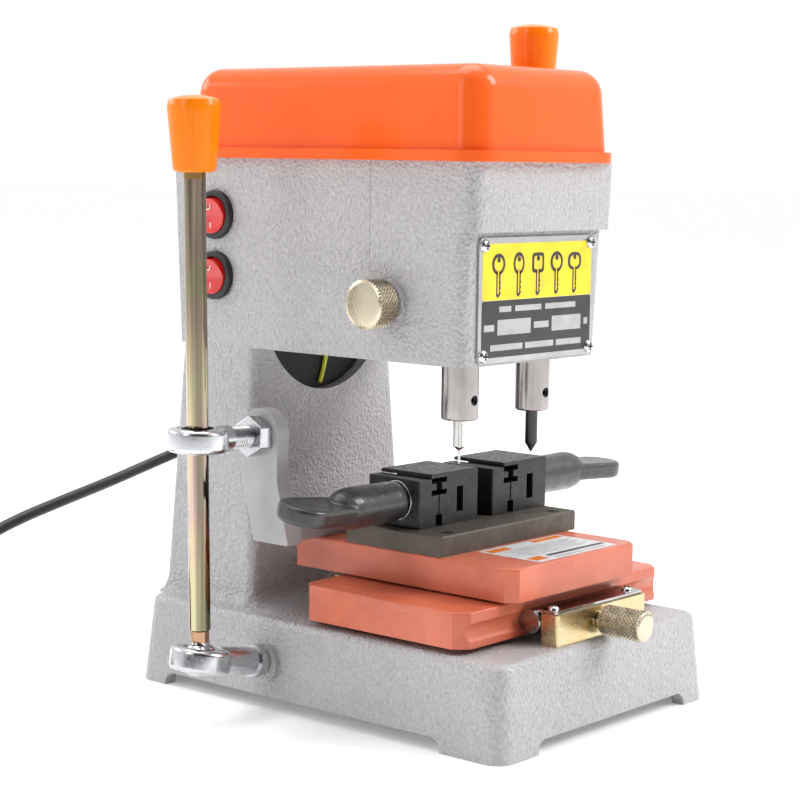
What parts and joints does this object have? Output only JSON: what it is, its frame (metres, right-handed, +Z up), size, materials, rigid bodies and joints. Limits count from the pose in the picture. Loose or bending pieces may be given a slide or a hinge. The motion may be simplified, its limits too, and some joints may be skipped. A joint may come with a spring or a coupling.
{
  "type": "key duplicating machine",
  "caption": "Bench key duplicator: C-shaped casting with motor head, cutter and tracer above key vises on a lever-moved cross table, with feed lever, switches and mains cord.",
  "frame": {"origin": "centre of the base footprint, on the bench", "axes": "+X to the right of someone facing the machine, +Y to the back, +Z up"},
  "size_m": [0.3576, 0.4455, 0.3315],
  "materials": {
    "casting_paint": "light grey hammered paint on an iron casting",
    "cover_orange": "glossy orange",
    "knob_orange": "glossy yellowish orange",
    "table_orange": "semi-gloss orange paint on iron plate",
    "clamp_oxide": "dark brown oxide",
    "vise_black": "black oxide steel",
    "handle_black": "rough black enamel",
    "spindle_steel": "ground steel",
    "tool_steel": "bright tool steel",
    "tool_black": "black hardened steel",
    "bright_zinc": "bright zinc plating",
    "yellow_zinc": "yellow zinc plating",
    "nickel_knurl": "nickel plated, knurled",
    "polished_steel": "polished",
    "bracket_paint": "light grey paint",
    "plate_alu": "printed aluminium plate",
    "black_steel": "blackened steel",
    "bezel_black": "black",
    "rocker_red": "translucent red",
    "motor_steel": "grey steel",
    "guard_black": "black fibre sheet",
    "wire_green": "yellow and green",
    "belt_rubber": "black rubber belt",
    "cord_black": "black flexible cord",
    "plug_black": "black moulded plug"
  },
  "bodies": {
    "machine": {"frame_casting": "casting_paint", "top_cover": "cover_orange", "nameplate": "plate_alu", "panhead_screws": "bright_zinc", "frame_screws": "black_steel", "switch_housings": "bezel_black", "motor_body": "motor_steel", "motor_plate": "motor_steel", "drive_belt": "belt_rubber", "motor_guard": "guard_black", "earth_wire": "wire_green", "guide_rods": "tool_steel", "return_springs": "tool_steel", "way_blocks": "yellow_zinc", "way_strip": "polished_steel", "way_rods": "spindle_steel", "lower_rod_end": "bright_zinc", "power_cord": "cord_black", "cord_coil": "cord_black", "cord_gland": "cord_black", "plug": "plug_black"},
    "upper_switch": {"upper_rocker": "rocker_red"},
    "lower_switch": {"lower_rocker": "rocker_red"},
    "motor_rotor": {"motor_shaft": "tool_steel", "motor_pulley": "spindle_steel"},
    "pulley": {"spindle_pulley": "spindle_steel"},
    "quill": {"quill_carriage": "motor_steel", "spindle_bearings": "tool_steel", "tracer_holder": "spindle_steel", "tracer_stylus": "tool_black", "tracer_set_screw": "tool_black"},
    "spindle": {"cutter_spindle": "spindle_steel", "key_cutter": "tool_steel", "cutter_set_screw": "tool_black"},
    "feed_lever": {"feed_pinion_shaft": "tool_steel", "feed_hub": "black_steel", "feed_rod": "yellow_zinc", "feed_knob": "knob_orange"},
    "depth_lock": {"quill_lock_knob": "nickel_knurl"},
    "table_lock": {"x_lock_screw": "nickel_knurl"},
    "x_table": {"lower_table": "table_orange"},
    "table_balls": {"way_balls": "polished_steel"},
    "y_table": {"upper_table": "table_orange", "clamp_plate": "clamp_oxide", "table_screws": "black_steel", "left_vise_block": "vise_black", "right_vise_block": "vise_black", "left_vise_stud": "spindle_steel", "lever_bracket": "bracket_paint", "upper_rod_end": "bright_zinc", "upper_rod_nut": "bright_zinc"},
    "left_jaw": {"left_vise_jaw": "vise_black", "left_vise_washer": "bright_zinc"},
    "right_jaw": {"right_vise_jaw": "vise_black"},
    "left_handle": {"left_vise_handle": "handle_black"},
    "right_handle": {"right_vise_handle": "handle_black"},
    "lever_race": {"lower_race": "bright_zinc"},
    "table_lever": {"lever_rod": "yellow_zinc", "lever_knob": "knob_orange"},
    "lever_ball": {"upper_ball": "bright_zinc"}
  },
  "joints": [
    {"name": "upper_switch_rock", "type": "hinge", "parent": "machine", "child": "upper_switch", "pos_m": [-0.0656, 0.08, 0.2357], "axis": [0, 1, 0], "range_deg": [0, 16]},
    {"name": "lower_switch_rock", "type": "hinge", "parent": "machine", "child": "lower_switch", "pos_m": [-0.0656, 0.08, 0.206], "axis": [0, 1, 0], "range_deg": [0, 16]},
    {"name": "motor_spin", "type": "hinge", "parent": "machine", "child": "motor_rotor", "pos_m": [-0.0125, 0.064, 0.2], "axis": [0, 0, 1], "continuous": true},
    {"name": "pulley_spin", "type": "hinge", "parent": "machine", "child": "pulley", "pos_m": [-0.0401, -0.055, 0.25], "axis": [0, 0, 1], "continuous": true},
    {"name": "quill_slide", "type": "slide", "parent": "machine", "child": "quill", "axis": [0, 0, 1], "range_m": [-0.0079, 0], "stiffness_N_per_m": 400, "springref_m": 0.04, "deforming": ["return_springs"]},
    {"name": "spindle_spin", "type": "hinge", "parent": "quill", "child": "spindle", "pos_m": [-0.0401, -0.055, 0.2], "axis": [0, 0, 1], "continuous": true},
    {"name": "feed_turn", "type": "hinge", "parent": "machine", "child": "feed_lever", "pos_m": [0.03, -0.024, 0.211], "axis": [1, 0, 0], "range_deg": [0, 45]},
    {"name": "depth_lock_turn", "type": "hinge", "parent": "machine", "child": "depth_lock", "pos_m": [-0.069, -0.031, 0.1983], "axis": [-1, 0, 0], "range_deg": [-60, 360]},
    {"name": "table_lock_turn", "type": "hinge", "parent": "machine", "child": "table_lock", "pos_m": [0.001, -0.11, 0.052], "axis": [0, -1, 0], "range_deg": [-60, 360]},
    {"name": "table_x", "type": "slide", "parent": "machine", "child": "x_table", "axis": [1, 0, 0], "range_m": [-0.025, 0.01]},
    {"name": "ball_roll", "type": "slide", "parent": "x_table", "child": "table_balls", "axis": [0, 1, 0], "range_m": [-0.0176, 0.0041]},
    {"name": "table_y", "type": "slide", "parent": "x_table", "child": "y_table", "axis": [0, 1, 0], "range_m": [-0.035, 0.008]},
    {"name": "left_jaw_slide", "type": "slide", "parent": "y_table", "child": "left_jaw", "axis": [-1, 0, 0], "range_m": [-0.0005, 0.002]},
    {"name": "right_jaw_slide", "type": "slide", "parent": "y_table", "child": "right_jaw", "axis": [-1, 0, 0], "range_m": [-0.0005, 0.002]},
    {"name": "left_handle_turn", "type": "hinge", "parent": "left_jaw", "child": "left_handle", "pos_m": [-0.06, -0.021, 0.103], "axis": [-1, 0, 0], "range_deg": [-90, 360]},
    {"name": "right_handle_turn", "type": "hinge", "parent": "y_table", "child": "right_handle", "pos_m": [0.06, -0.021, 0.103], "axis": [1, 0, 0], "range_deg": [-90, 360]},
    {"name": "race_tilt", "type": "hinge", "parent": "machine", "child": "lever_race", "pos_m": [-0.1254, 0.0285, 0.0315], "axis": [0, 1, 0], "range_deg": [-14, 6]},
    {"name": "lever_tilt", "type": "hinge", "parent": "lever_race", "child": "table_lever", "pos_m": [-0.1254, 0.0285, 0.0315], "axis": [1, 0, 0], "range_deg": [-4.5, 19]},
    {"name": "lever_ball_tilt", "type": "hinge", "parent": "y_table", "child": "lever_ball", "pos_m": [-0.12747, 0.0285, 0.13468], "axis": [1, 0, 0], "range_deg": [-4.5, 19]}
  ],
  "couplings": [
    {"joint": "pulley_spin", "follows": "motor_spin", "ratio": 0.8},
    {"joint": "spindle_spin", "follows": "motor_spin", "ratio": 0.8},
    {"joint": "quill_slide", "follows": "feed_turn", "m_per_rad": -0.01},
    {"joint": "ball_roll", "follows": "table_y", "ratio": 0.5},
    {"joint": "race_tilt", "follows": "table_x", "rad_per_m": 9.5},
    {"joint": "lever_tilt", "follows": "table_y", "rad_per_m": -9.2},
    {"joint": "lever_ball_tilt", "follows": "table_y", "rad_per_m": -9.2},
    {"joint": "left_handle_turn", "follows": "left_jaw_slide", "rad_per_m": 3141.6},
    {"joint": "right_handle_turn", "follows": "right_jaw_slide", "rad_per_m": 3141.6}
  ]
}
